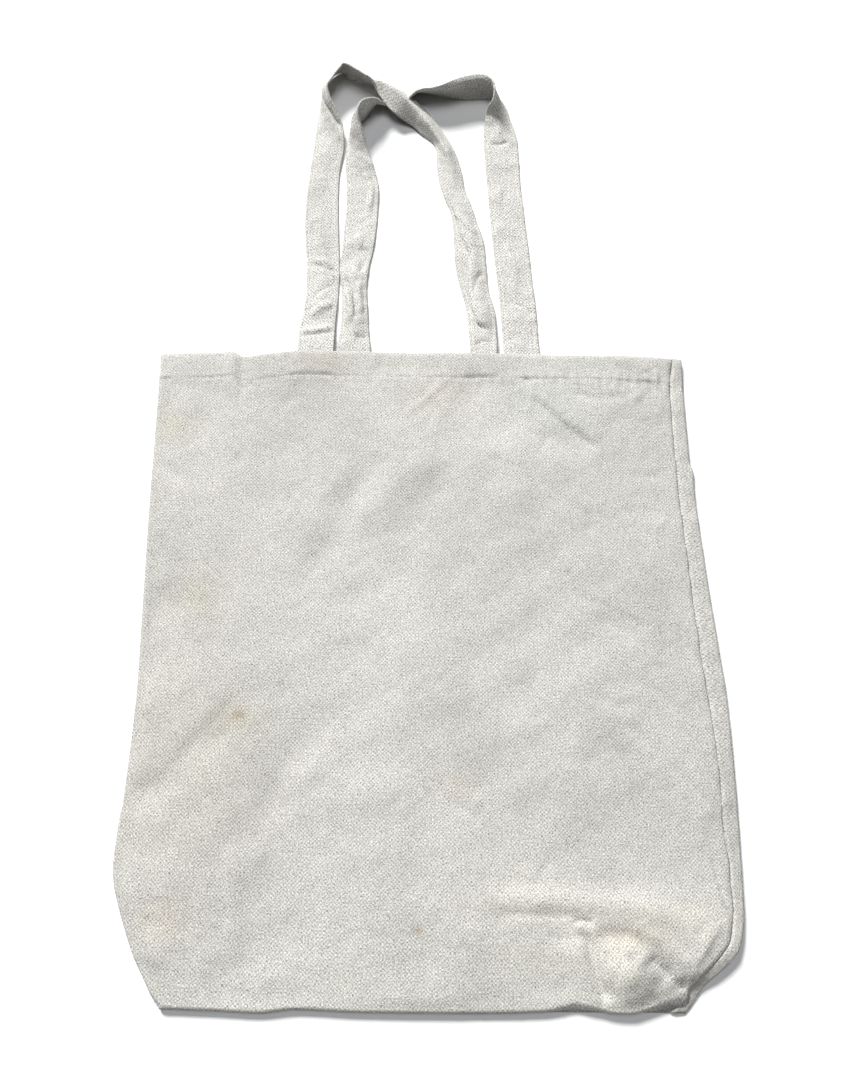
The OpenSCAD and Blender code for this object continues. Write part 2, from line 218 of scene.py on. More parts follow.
# Folds of the front: shape, height, width, line as (x, height above the bottom seam), fade
folds = [
    ("step", -1.5, 1.4, [(-134, 434), (-133.4, 396)], 10),
    ("soft", 0.5, 2.2, [(-12, 418), (4, 401), (22, 382)], 10),
    ("soft", 0.45, 2.0, [(22, 417), (6, 400), (-12, 383)], 10),
    ("soft", -0.4, 3.0, [(5, 396), (6, 382), (0, 366)], 10),
    ("soft", -1.3, 12, [(-22, 372), (-52, 312), (-88, 240)], 50),
    ("soft", -0.8, 12, [(28, 366), (6, 326), (-22, 276)], 45),
    ("soft", -0.85, 9, [(-98, 196), (-118, 178), (-160, 130), (-190, 110)], 30),
    ("pleat", 0.5, 2.0, [(-108, 190), (-132, 163), (-166, 122)], 22),
    ("soft", -0.75, 11, [(-58, 186), (-88, 132), (-116, 88)], 40),
    ("soft", 0.7, 7, [(-62, 150), (-76, 132), (-90, 118)], 20),
    ("sharp", -0.95, 1.3, [(74, 401), (86, 389), (100, 375), (124, 356)], 12),
    ("step", 0.9, 1.6, [(74, 401), (86, 389), (100, 375), (124, 356)], 12),
    ("sharp", -0.5, 1.5, [(70, 374), (80, 367), (90, 364)], 8),
    ("soft", -0.5, 5, [(62, 410), (66, 386), (76, 368)], 14),
    ("sharp", -0.55, 1.2, [(98, 252), (112, 246), (129, 238), (152, 227)], 12),
    ("soft", -0.8, 6, [(110, 240), (128, 231), (146, 216)], 16),
    ("soft", -0.5, 4, [(96, 318), (112, 306), (116, 290)], 12),
    ("sharp", -0.6, 1.3, [(118, 172), (133, 163), (159, 135), (182, 112)], 20),
    ("sharp", -0.4, 1.3, [(138, 196), (156, 180), (178, 166)], 14),
    ("sharp", -0.5, 1.4, [(166, 234), (169, 216), (173, 198)], 10),
    ("soft", -0.5, 4, [(104, 190), (120, 178), (138, 178)], 12),
    ("sharp", 0.6, 1.3, [(160, 104), (170, 90), (174, 72), (178, 54), (180, 40)], 14),
    ("sharp", -0.6, 1.2, [(164, 100), (174, 82), (178, 60), (182, 44)], 14),
    ("soft", 1.0, 7, [(20, 61), (60, 61), (120, 60), (158, 50)], 34),
    ("step", 0.55, 1.6, [(112, 50.5), (70, 51.5), (34, 52)], 22),
    ("sharp", -1.1, 1.6, [(84, 48.5), (91, 50.5), (101, 49.5)], 5),
    ("soft", -0.5, 4, [(-30, 215), (-24, 196), (-16, 176)], 14),
    ("sharp", -0.25, 1.0, [(-6, 188), (0, 168), (3, 150)], 12),
    ("soft", -0.4, 3.5, [(12, 120), (28, 112), (44, 98)], 14),
    ("sharp", -0.3, 1.2, [(-22, 118), (-22, 92), (-26, 70)], 14),
    ("soft", 0.5, 4, [(-86, 150), (-82, 124), (-74, 100)], 18),
    ("soft", -0.5, 5, [(-100, 90), (-92, 60), (-84, 24)], 24),
    ("soft", 0.55, 5, [(-120, 96), (-116, 64), (-112, 20)], 26),
    ("sharp", 0.35, 1.4, [(-146, 108), (-154, 76), (-160, 40)], 22),
    ("sharp", -0.3, 1.4, [(-136, 84), (-142, 52), (-140, 18)], 18),
    ("soft", -0.6, 4, [(-176, 86), (-166, 58), (-158, 30)], 18),
    ("sharp", -0.35, 1.2, [(-184, 392), (-170, 380), (-150, 374)], 14),
    ("soft", -0.45, 5, [(-188, 350), (-164, 330), (-150, 296)], 24),
    ("soft", 0.4, 6, [(-172, 300), (-150, 262), (-140, 226)], 30),
    ("soft", -0.4, 4, [(-182, 262), (-166, 240), (-160, 214)], 16),
    ("soft", 0.35, 7, [(-60, 330), (-30, 300), (-10, 262)], 34),
    ("soft", 0.4, 6, [(52, 340), (66, 318), (70, 286)], 24),
    ("sharp", -0.3, 1.2, [(134, 340), (150, 336), (172, 340)], 12),
    ("sharp", -0.28, 1.2, [(128, 308), (148, 312), (172, 306)], 12),
    ("sharp", -0.26, 1.2, [(116, 372), (140, 380), (168, 376)], 14),
    ("soft", -0.5, 3, [(96, 404), (120, 396), (150, 398)], 16),
    ("sharp", -0.3, 1.2, [(-70, 404), (-40, 398), (-16, 402)], 14),
    ("sharp", -0.25, 1.2, [(-120, 402), (-100, 392), (-84, 396)], 10),
]
# knob of the boxed corner: lumps as (x, height, reach across, reach up, lift)
knobLumps = [
    (112, 34, 40, 26, 3.2), (117, 22, 13, 13, 4.4), (135, 52, 34, 16, 1.2), (168, 44, 16, 24, 1.2),
]
knobFolds = [
    ("soft", -2.2, 4.5, [(91, 50), (95, 36), (99, 20), (104, 4)], 9),
    ("step", -2.4, 1.6, [(92, 44), (96, 30), (99, 18), (104, 4)], 7),
    ("soft", -1.8, 5.0, [(98, 42), (108, 43), (120, 42), (131, 34)], 8),
    ("soft", -1.2, 4.0, [(124, 36), (133, 29), (145, 18)], 8),
    ("sharp", -1.6, 2.6, [(129, 32), (134, 28), (141, 22), (153, 12)], 6),
    ("soft", 1.3, 4.5, [(124, 46), (136, 41), (147, 33), (156, 24)], 8),
    ("pleat", 1.3, 2.0, [(151, 13), (158, 28), (168, 42), (177, 52)], 12),
    ("soft", 1.6, 4.0, [(112, 36), (122, 36), (130, 26)], 7),
    ("soft", -1.4, 4.0, [(128, 14), (136, 18), (144, 18)], 8),
    ("sharp", -0.9, 1.4, [(110, 26), (108, 14), (112, 4)], 6),
]
# straps sewn in behind the front hem show through it: left, right, how much they raise it
embossed = [(-94, -67, 0.5), (30, 51, 0.45)]


def scatterFolds(count, seed, region):
    # small creases strewn over a region: x from, x to, height from, height to, mean turn
    rng = np.random.default_rng(seed)
    made = []
    for n in range(count):
        x = rng.uniform(region[0], region[1])
        y = rng.uniform(region[2], region[3])
        turn = region[4] + rng.normal(0, 0.5)
        length = rng.uniform(8, 26)
        bend = rng.normal(0, 3)
        step = np.array([math.cos(turn), math.sin(turn)]) * length / 2
        middle = (x - step[1] * bend / length, y + step[0] * bend / length)
        made.append((rng.choice(["sharp", "soft"]), rng.choice([-1, 1]) * rng.uniform(0.1, 0.3),
                     rng.uniform(1.2, 2.6), [(x - step[0], y - step[1]), middle,
                                             (x + step[0], y + step[1])], length * 0.4))
    return made


# how many, random seed, region
scattered = [
    (26, 3, (-180, 180, 388, 424, 1.2)), (34, 13, (-186, 174, 403, 417, 1.6)),
    (16, 5, (150, 176, 60, 400, 0.3)), (12, 7, (-184, -150, 60, 400, 2.4)),
    (26, 9, (-170, 170, 12, 130, 1.5)), (30, 11, (-150, 150, 120, 380, 0.9)),
]
smallFolds = [fold for count, seed, region in scattered for fold in scatterFolds(count, seed, region)]


def topHeight(x, h):
    # top of the front panel over the floor
    left = x - smoothThrough(leftEdge, h)
    right = smoothThrough(seamLine, h) - x
    low = h - smoothThrough(bottomLine, x)
    near = np.minimum(np.minimum(np.maximum(left, 0), np.maximum(right, 0) + 5), np.maximum(low, 0))
    lift = bag["middleHeight"] - bag["edgeHeight"]
    z = bag["edgeHeight"] + lift * (1 - np.exp(-near / 26))
    inner = smoothStep(0, 9, near) * 0.9 + 0.1
    z += inner * (0.85 * ripple(x, h * 0.8, 120, 21) + 0.2 * ripple(x, h, 42, 22)
                  + 0.06 * ripple(x, h, 17, 23))
    z += 0.03 * ripple(x, h, 9, 24)
    for fold in folds + smallFolds:
        z += bag["foldGain"] * foldHeight(x, h, fold) * (smoothStep(-2, 7, near) * 0.8 + 0.2)
    for cx, cy, rx, ry, lift in knobLumps:
        z += lift * np.exp(-((x - cx) / rx) ** 2 - ((h - cy) / ry) ** 2)
    for fold in knobFolds:
        z += foldHeight(x, h, fold)
    down = smoothThrough(mouthLine, x) - h
    # hem: a doubled band, a groove along its stitches and puckers between them
    z += 0.5 * smoothStep(bag["hemDepth"] + 0.8, bag["hemDepth"] - 0.6, down)
    groove = np.exp(-((down - bag["hemLine"]) / 1.1) ** 2)
    z -= (0.5 + 0.2 * ripple(x, x * 0, 26, 34)) * groove
    pucker = np.sin(x * 2 * math.pi / 7.5 + 1.3 * ripple(x, x * 0, 60, 31))
    z += 0.24 * pucker * np.exp(-((down - bag["hemLine"]) / 5) ** 2)
    z -= 0.5 * np.exp(-(np.maximum(down, 0) / 1.6) ** 2)
    for x0, x1, rise in embossed:
        across = smoothStep(x0 - 1.6, x0 + 1, x) * smoothStep(x1 + 1.6, x1 - 1, x)
        z += rise * across * smoothStep(19.5, 17, down)
        z -= 0.25 * across * np.exp(-((down - 19) / 1.4) ** 2)
    return z


def placed(x, h):
    # sideways lean of the whole lay
    return x - bag["lean"] * (h - bag["leanFrom"]), bottomY + h


def seamDepth(h):
    # the groove of the right seam is uneven
    return 0.95 * np.clip(0.8 + 0.35 * ripple(h * 0, h, 24, 33), 0.15, 1.3)


# a column well inside both panels, whose heights tell the hems which row they pass
probeColumn = 40


# Front panel: rolled under on the left, turned in at the mouth, rounded down to the bottom seam

def buildFrontPanel():
    r = bag["edgeRound"]
    under = np.concatenate([[-bag["rollUnder"] - math.pi * r, -2.6 - math.pi * r],
                            -np.linspace(1, 0.08, 8) * math.pi * r])
    skirt = -np.linspace(1, 0.06, 8)
    # rows and columns lie closer together over the boxed corner, the most crumpled part
    hs = np.concatenate([np.zeros(len(skirt)), np.arange(0, 62, 1.3), np.arange(62, 409, 2.5),
                         np.arange(409.5, 431, 1.15)])
    columns = np.concatenate([np.linspace(0, 0.66, 96, endpoint=False), np.linspace(0.66, 1, 90)])
    fraction = np.concatenate([np.zeros(len(under)), columns])
    drop = np.concatenate([under, np.zeros(len(columns))])
    h = np.repeat(hs[:, None], len(fraction), 1)
    f = np.repeat(fraction[None, :], len(hs), 0)
    a = np.repeat(drop[None, :], len(hs), 0)
    s = np.repeat(np.concatenate([skirt, np.zeros(len(hs) - len(skirt))])[:, None], len(fraction), 1)
    x = smoothThrough(leftEdge, h) + r + f * (smoothThrough(seamLine, h) - smoothThrough(leftEdge, h) - r)
    # the rows start at the lifted bottom edge and reach the dipped mouth line
    low = smoothThrough(bottomLine, x) + r
    high = smoothThrough(mouthLine, x)
    level = low + (high - low) * h / bag["height"]
    xLeft = smoothThrough(leftEdge, level) + r
    xRight = smoothThrough(seamLine, level)
    x = xLeft + f * (xRight - xLeft)
    z = topHeight(x, level)
    floor = 0.5 * bag["cloth"] + 0.1
    turn = np.clip(-a / r, 0, math.pi)
    fx = (1 - np.cos(turn)) / 2
    px = x - np.where(a < 0, r * np.sin(turn), 0) + np.maximum(-a - math.pi * r, 0)
    swing = -s * math.radians(150)
    fy = (1 - np.cos(swing)) / 2
    reach = np.maximum(level - r - smoothThrough(turnedUnder, x), 0)
    py = level - np.where(s < 0, r * np.sin(swing) + reach * fy, 0)
    pz = floor + (z - 0.5 * bag["cloth"] - floor) * (1 - fx) * (1 - fy)
    # along the right seam the cloth dips into the groove
    toSeam = xRight - x
    pz = pz - seamDepth(level) * np.exp(-(toSeam / 1.3) ** 2) * (a >= 0)
    uv = np.stack([x + a, level + s * 6], -1)
    lx, ly = placed(px, py)
    grid = np.stack([lx, ly, pz], -1)
    # over the mouth edge and down behind it
    top = grid[-1]
    topUv = uv[-1]
    fold = []
    foldUv = []
    for turnBack in np.radians([35, 75, 110, 150, 180]):
        row = top.copy()
        row[:, 1] += 0.75 * math.sin(turnBack)
        row[:, 2] -= 0.75 * (1 - math.cos(turnBack))
        fold.append(row)
        foldUv.append(topUv + [0, turnBack])
    for back in np.linspace(1.5, bag["hemDepth"] - 0.5, 9):
        row = top.copy()
        j = np.argmin(np.abs(grid[:, probeColumn, 1] - (top[probeColumn, 1] - back)))
        row[:, 1] -= back
        row[:, 2] = grid[j, :, 2] - 1.5 - 0.25 * np.sin(row[:, 0] * 0.09 + back)
        row[:, 2] = np.maximum(row[:, 2], 1.4)
        fold.append(row)
        foldUv.append(topUv + [0, 3 + back])
    grid = np.concatenate([grid, np.array(fold)], 0)
    uv = np.concatenate([uv, np.array(foldUv)], 0)
    grid[:, :, 2] = np.maximum(grid[:, :, 2], bag["frontClearance"])
    panel = makeMesh("frontPanel", grid, uv)
    faceUp(panel)
    return thicken(panel, bag["cloth"])


frontPanel = buildFrontPanel()
print("front panel", len(frontPanel.data.polygons), "faces")


# Back panel: flat on the floor, brought round the right edge up onto the front

def buildBackPanel():
    r = bag["edgeRound"]
    flatColumns, turnColumns, stripColumns = 96, 10, 12
    hs = np.concatenate([np.linspace(0.9, 12, 8), np.arange(15, 412, 3.2), np.linspace(412, 429, 8)])
    flat = np.linspace(0, 1, flatColumns)
    turnSteps = np.linspace(0.1, 1, turnColumns) * math.pi
    strip = np.linspace(0.06, 1, stripColumns)
    h = np.repeat(hs[:, None], flatColumns + turnColumns + stripColumns, 1)
    f = np.concatenate([flat, np.ones(turnColumns + stripColumns)])[None, :]
    turn = np.concatenate([np.zeros(flatColumns), turnSteps, np.full(stripColumns, math.pi)])[None, :]
    back = np.concatenate([np.zeros(flatColumns + turnColumns), strip])[None, :]
    xLeft = smoothThrough(leftEdge, h) + bag["rollUnder"] + r + 0.6
    xTurn = smoothThrough(rightEdge, h) - r
    xSeam = smoothThrough(seamLine, h) - 0.3
    x = xLeft + f * (xTurn - xLeft)
    crest = topHeight(xSeam, h)
    floor = 0.5 * bag["cloth"]
    fx = (1 - np.cos(turn)) / 2
    px = x + r * np.sin(turn) + back * (xSeam - xTurn)
    lowered = smoothStep(0, 34, h)
    # the strip stands highest just outside the seam and falls towards the edge
    outer = crest - 0.45 - 1.1 * (1 - back) ** 1.5
    pz = floor + (np.maximum(outer, 1.2) * (0.35 + 0.65 * lowered) - floor) * fx
    pz = pz - 0.8 * seamDepth(h) * np.exp(-((1 - back) * 7 / 1.2) ** 2) * (fx > 0.99)
    for y in (96, 118, 141, 168, 212, 262, 304, 338, 352):
        crease = ("sharp", 0.55, 1.6, [(178, y), (193, y + 5)], 5)
        pz = pz + foldHeight(px, h, crease) * fx
    pz = pz + 0.12 * ripple(px, h, 12, 41) * fx
    uv = np.stack([x + turn * r + back * 7, h], -1)
    lx, ly = placed(px, h)
    grid = np.stack([lx, ly + 0 * lx, pz], -1)
    top = grid[-1]
    fold = []
    foldUv = []
    for turnBack in np.radians([40, 90, 140, 180]):
        row = top.copy()
        row[:, 1] += 0.8 * math.sin(turnBack)
        row[:flatColumns, 2] += 0.8 * (1 - math.cos(turnBack))
        row[flatColumns:, 2] -= 0.4 * (1 - math.cos(turnBack))
        fold.append(row)
        foldUv.append(uv[-1] + [0, turnBack])
    for behind in np.linspace(2, bag["hemDepth"], 8):
        row = fold[3].copy()
        row[:, 1] -= behind
        # on the strip the hem follows the cloth in front of it
        j = np.argmin(np.abs(grid[:, probeColumn, 1] - row[probeColumn, 1]))
        row[flatColumns:, 2] = grid[j, flatColumns:, 2] - 1.3
        fold.append(row)
        foldUv.append(uv[-1] + [0, 3 + behind])
    grid = np.concatenate([grid, np.array(fold)], 0)
    uv = np.concatenate([uv, np.array(foldUv)], 0)
    grid[:, :, 2] = np.maximum(grid[:, :, 2], bag["backClearance"])
    panel = makeMesh("backPanel", grid, uv)
    # its outside looks down
    return thicken(faceUp(panel, upward=False), bag["cloth"])


backPanel = buildBackPanel()
print("back panel", len(backPanel.data.polygons), "faces")


# Straps: each is a folded band led through stations of outer edge, crest and inner edge

def station(outer, inner, crest=None, bow=0.35):
    # without its own crest a band is a little bowed between its edges
    outer, inner = np.array(outer, float), np.array(inner, float)
    if crest is None:
        crest = (outer + inner) / 2 + [0, 0, bow]
    return np.concatenate([outer, np.array(crest, float), inner])


# places from the middle of the bag, the mouth line and the floor; the last part of each
# top run stands on its outer edge with its inner face towards the bag
frontStations = [
    station((-93, -17, 5.1), (-67, -17, 5.1)), station((-93, -8, 5.1), (-67, -8, 5.1)),
    station((-94, 2, 5.0), (-69, 2, 5.0)), station((-94, 10, 4.4), (-69, 10, 4.4)),
    station((-94, 25, 2.4), (-69, 26, 2.4)),
    station((-91, 48, 1.4), (-68, 48, 1.4), bow=1.6), station((-91, 66, 1.2), (-67.5, 66, 1.2), bow=1.2),
    station((-91.5, 80, 1.2), (-68, 84, 1.2), bow=1.4), station((-94, 105, 1.1), (-69.5, 107, 1.1)),
    station((-95, 134, 1.1), (-71, 136, 1.1)), station((-93.5, 160, 1.1), (-71, 164, 1.4)),
    station((-92, 182, 1.1), (-68.5, 186, 2.4), bow=0.8),
    station((-90.5, 203, 1.1), (-69, 203, 6), crest=(-80, 203, 4.6)),
    station((-89, 222, 1.1), (-74, 216, 12), crest=(-84, 219, 8)),
    station((-88, 236, 1.1), (-79.5, 226, 17), crest=(-86, 229, 12)),
    station((-85.5, 248, 1.1), (-82, 234, 20.5), crest=(-85, 240, 14)),
    station((-81, 259, 1.1), (-78, 243, 20.5), crest=(-80.5, 249.5, 12)),
    station((-75, 266, 1.1), (-71.5, 252, 22.5)), station((-71, 266, 1.2), (-68.5, 254, 23.5)),
    station((-66, 260.5, 1.2), (-63.5, 250.5, 24)), station((-57, 258.5, 1.3), (-54.5, 245, 22.5)),
    station((-49, 255.5, 1.3), (-47, 240, 21.5)),
    station((-42, 250, 1.3), (-42, 234, 14.5), crest=(-42, 241, 19.5)),
    station((-35, 245, 4), (-38, 227.5, 14), crest=(-36, 238.5, 19)),
    station((-26.5, 241, 9), (-32, 219, 12.5), crest=(-28.5, 233, 18.5)),
    station((-17, 234.5, 8.5), (-25, 214.5, 9.5), crest=(-20.5, 226, 16.5)),
    station((-6.5, 226, 6.5), (-15, 211, 4), crest=(-11, 218, 13)),
    station((3, 214, 5), (-5.5, 203.5, 1.3), crest=(-1, 206, 10.5)),
    station((11, 202, 3.4), (3, 195.5, 1.1), crest=(7.5, 192.5, 8.8)),
    station((19, 187, 2.4), (6.5, 186, 1.1), crest=(13.5, 181, 8)),
    station((24, 170, 1.6), (6, 174, 1.1), crest=(18, 166, 5.4)),
    station((27, 152, 1.2), (8, 158, 1.1), crest=(19, 150, 3.8)),
    station((32, 135, 1.2), (12, 143, 1.1), crest=(24, 136, 3.4)),
    station((36, 121, 1.2), (17, 128, 1.1), crest=(29, 122, 3.4)),
    station((40, 107, 1.2), (19, 113, 1.1), crest=(32, 108, 3.2)),
    station((42, 93, 1.2), (20, 96, 1.1), crest=(33, 93, 3.2)),
    station((43, 77, 1.2), (21, 78, 1.1), crest=(34, 77, 3.4)),
    station((44.5, 60, 1.3), (24, 62, 1.1), crest=(35, 60, 3.6)),
    station((48, 45, 1.6), (28, 46, 1.5), crest=(39, 45, 4)),
    station((49.5, 29, 3), (30, 30, 2.8), crest=(40, 29, 4.8)),
    station((50, 12, 4.6), (31, 12, 4.6), bow=0.8), station((50, 2, 5.1), (31, 2, 5.1)),
    station((51, -8, 5.1), (30, -8, 5.1)), station((52, -17, 5.1), (29, -17, 5.1)),
]
backStations = [
    station((-67, -17, 2.7), (-41, -17, 2.7)), station((-67, -8, 2.7), (-41, -8, 2.7)),
    station((-66.5, 2, 2.6), (-42, 2, 2.6)), station((-65.5, 12, 2.2), (-43, 12, 2.2), bow=0.8),
    station((-64, 26, 1.5), (-44.5, 26, 1.5), bow=2.0), station((-63.5, 46, 1.2), (-46, 46, 1.2), bow=2.6),
    station((-65, 62, 1.2), (-46.8, 62, 1.2), bow=2.4), station((-66.5, 78, 1.2), (-45.6, 78, 1.2), bow=1.4),
    station((-65.5, 92, 1.1), (-43, 92, 1.1), bow=0.8), station((-64.5, 112, 1.1), (-41, 112, 1.1)),
    station((-63.5, 132, 1.1), (-40, 132, 1.1)), station((-64, 153, 1.1), (-40.2, 153, 1.3)),
    station((-65.5, 170, 1.1), (-43.5, 168, 2.4), bow=1),
    station((-65.5, 184, 1.1), (-47.5, 180, 5), crest=(-57, 182, 5)),
    station((-64.5, 197, 1.1), (-51, 189, 10), crest=(-60, 193, 9)),
    station((-63, 207, 1.1), (-54, 199, 16), crest=(-61.5, 201, 13)),
    station((-60, 216, 1.1), (-56.5, 207, 22), crest=(-61, 208, 15)),
    station((-54.5, 217, 1.1), (-54, 214, 24), crest=(-55.5, 210, 17)),
    station((-49, 226, 1.1), (-48, 219, 22.5), crest=(-49, 216, 17)),
    station((-43, 235, 1.1), (-42, 223, 18.5), crest=(-42, 223, 13)),
    station((-36, 240, 1.1), (-35, 223, 12), crest=(-35, 226, 7)),
    station((-28, 245, 1.1), (-27, 223, 9), crest=(-27, 230, 5)),
    station((-20, 248, 1.1), (-20, 226, 11), crest=(-20, 235, 6.5)),
    station((-13, 249, 1.1), (-13, 230, 17), crest=(-13, 237, 10)),
    station((-5, 247, 1.1), (-5, 230.5, 20), crest=(-5, 236, 13)),
    station((4, 244.5, 1.1), (3.5, 230.5, 21.5), crest=(4, 233.5, 16.5)),
    station((14, 242.5, 1.1), (13.5, 234.5, 23), crest=(14, 232, 20.5)),
    station((24, 241, 1.1), (23.5, 239, 23.4), crest=(24, 235.5, 21.6)),
    station((34, 240.5, 1.1), (34, 241.5, 23.8), crest=(34, 237.5, 22.4)),
    station((43, 240.5, 1.1), (43.5, 242, 23.6), crest=(42.5, 238.5, 22)),
    station((50, 241, 1.1), (49.5, 235, 23), crest=(50, 235, 17)),
    station((56, 239, 1.1), (50, 224, 18), crest=(54, 230, 15)),
    station((60.5, 231, 1.1), (46, 222, 9.5), crest=(55, 224, 11)),
    station((65, 217.5, 1.1), (44.5, 213, 4), crest=(56, 214, 6.6)),
    station((69, 200, 1.1), (43.5, 199, 1.4), crest=(57, 199, 3)),
    station((70, 178, 1.1), (44.5, 178, 1.1)), station((71, 152, 1.1), (46, 153, 1.1)),
    station((73.5, 121, 1.1), (48, 121, 1.1)), station((76, 88, 1.1), (50.5, 88, 1.1)),
    station((78.5, 54, 1.2), (53.5, 54, 1.2), bow=0.6), station((80, 30, 1.7), (55, 30, 1.7)),
    station((80.5, 12, 2.2), (55.8, 12, 2.2)), station((81, 2, 2.6), (56, 2, 2.6)),
    station((81, -8, 2.7), (56, -8, 2.7)), station((81, -17, 2.7), (56, -17, 2.7)),
]
strap = {
    "thickness": 1.7,
    "rowStep": 1.25,
    "across": 23,
    "topstitchIn": 2.6,
    "width": 26.0,
    "sewnEnd": 17.0,         # part of each end that is sewn in behind a hem
    "wrinkle": 2.4,          # strength of the wrinkles
}
# wrinkles of each strap: (shape, height, width, [(place across, place from the mouth)...], fade)
frontWrinkles = [
    ("sharp", -0.45, 1.0, [(-4, 83), (8, 80), (16, 75), (29, 72)], 8),
    ("soft", 0.35, 2.0, [(0, 87), (12, 83), (26, 76)], 8),
    ("sharp", -0.35, 1.0, [(5, 50), (17, 60), (29, 64)], 8),
    ("sharp", -0.32, 1.0, [(-4, 15), (10, 18.5), (30, 20)], 8),
    ("soft", 0.7, 2.4, [(0, 22), (12, 22), (26, 25)], 6),
    ("soft", -0.5, 2.5, [(18, 96), (20, 84), (24, 72)], 6),
    ("soft", 0.5, 3, [(4, 34), (14, 42), (25, 46)], 6),
    ("soft", 0.4, 4, [(8, 130), (12, 110), (10, 92)], 10),
    ("sharp", -0.35, 1.4, [(16, 160), (22, 148), (24, 130)], 6),
    ("soft", -0.8, 2.2, [(25, 204), (18, 220), (14, 236)], 8),
    ("sharp", 0.7, 1.2, [(24, 190), (19, 206), (15, 222)], 8),
    ("sharp", -1.1, 1.1, [(23, 440), (21, 470), (13, 488),
                          (17.7, 509), (21.5, 532), (18, 549), (6, 556)], 10),
    ("step", 1.1, 1.2, [(23, 440), (21, 470), (13, 488),
                        (17.7, 509), (21.5, 532), (18, 549), (6, 556)], 10),
    ("soft", 0.5, 2.6, [(4, 470), (12, 462), (22, 450)], 6),
    ("soft", -0.5, 2.4, [(2, 502), (10, 510), (16, 524)], 6),
    ("sharp", -0.5, 1.3, [(2, 566), (12, 564), (24, 567)], 5),
]
backWrinkles = [
    ("sharp", -0.8, 1.4, [(12, 165), (17, 146), (14, 122)], 9),
    ("soft", 0.7, 2.4, [(16, 168), (21, 150), (18, 126)], 9),
    ("sharp", -1.0, 1.4, [(0, 67), (7, 64), (11, 52), (14, 30)], 5),
    ("soft", 0.7, 2.6, [(3, 60), (8, 46), (10, 28)], 7),
    ("soft", 0.5, 2.6, [(18, 66), (18, 50), (20, 34)], 7),
    ("sharp", -0.6, 1.4, [(12, 18), (19, 16.5), (26, 17)], 4),
    ("soft", 0.6, 2.4, [(10, 108), (15, 98), (22, 92)], 6),
    ("soft", -0.5, 2.2, [(16, 100), (21, 84), (19, 70)], 6),
    ("sharp", -0.6, 1.3, [(22, 388), (14, 390), (6, 386)], 4),
    ("sharp", -0.45, 1.3, [(22, 532), (14, 537), (6, 540)], 5),
    ("soft", -0.45, 3.0, [(6, 420), (14, 440), (10, 470)], 9),
    ("soft", 0.4, 3.0, [(18, 480), (12, 505), (16, 530)], 9),
]


def throughStations(stations, step):
    # Catmull-Rom through the stations, then rows a step apart along the middle
    s = np.array(stations)
    padded = np.concatenate([[2 * s[0] - s[1]], s, [2 * s[-1] - s[-2]]])
    rows = []
    for n in range(1, len(padded) - 2):
        a, b, c, d = padded[n - 1:n + 3]
        for t in np.linspace(0, 1, 12, endpoint=False):
            rows.append(0.5 * (2 * b + (c - a) * t + (2 * a - 5 * b + 4 * c - d) * t * t
                               + (3 * b - 3 * c + d - a) * t ** 3))
    rows.append(s[-1])
    rows = np.array(rows)
    length = np.linalg.norm(np.diff(rows[:, 3:6], axis=0), axis=1)
    along = np.concatenate([[0], np.cumsum(length)])
    at = np.arange(0, along[-1], step)
    even = np.stack([np.interp(at, along, rows[:, k]) for k in range(9)], 1)
    return even, at


def relax(grid, rounds):
    # smooths the band lengthwise, keeping its ends
    for n in range(rounds):
        grid[1:-1] = 0.5 * grid[1:-1] + 0.25 * (grid[:-2] + grid[2:])
    return grid


def normalsOf(grid):
    lengthwise = np.gradient(grid, axis=0)
    across = np.gradient(grid, axis=1)
    n = np.cross(across, lengthwise)
    return n / np.maximum(np.linalg.norm(n, axis=2, keepdims=True), 1e-9)


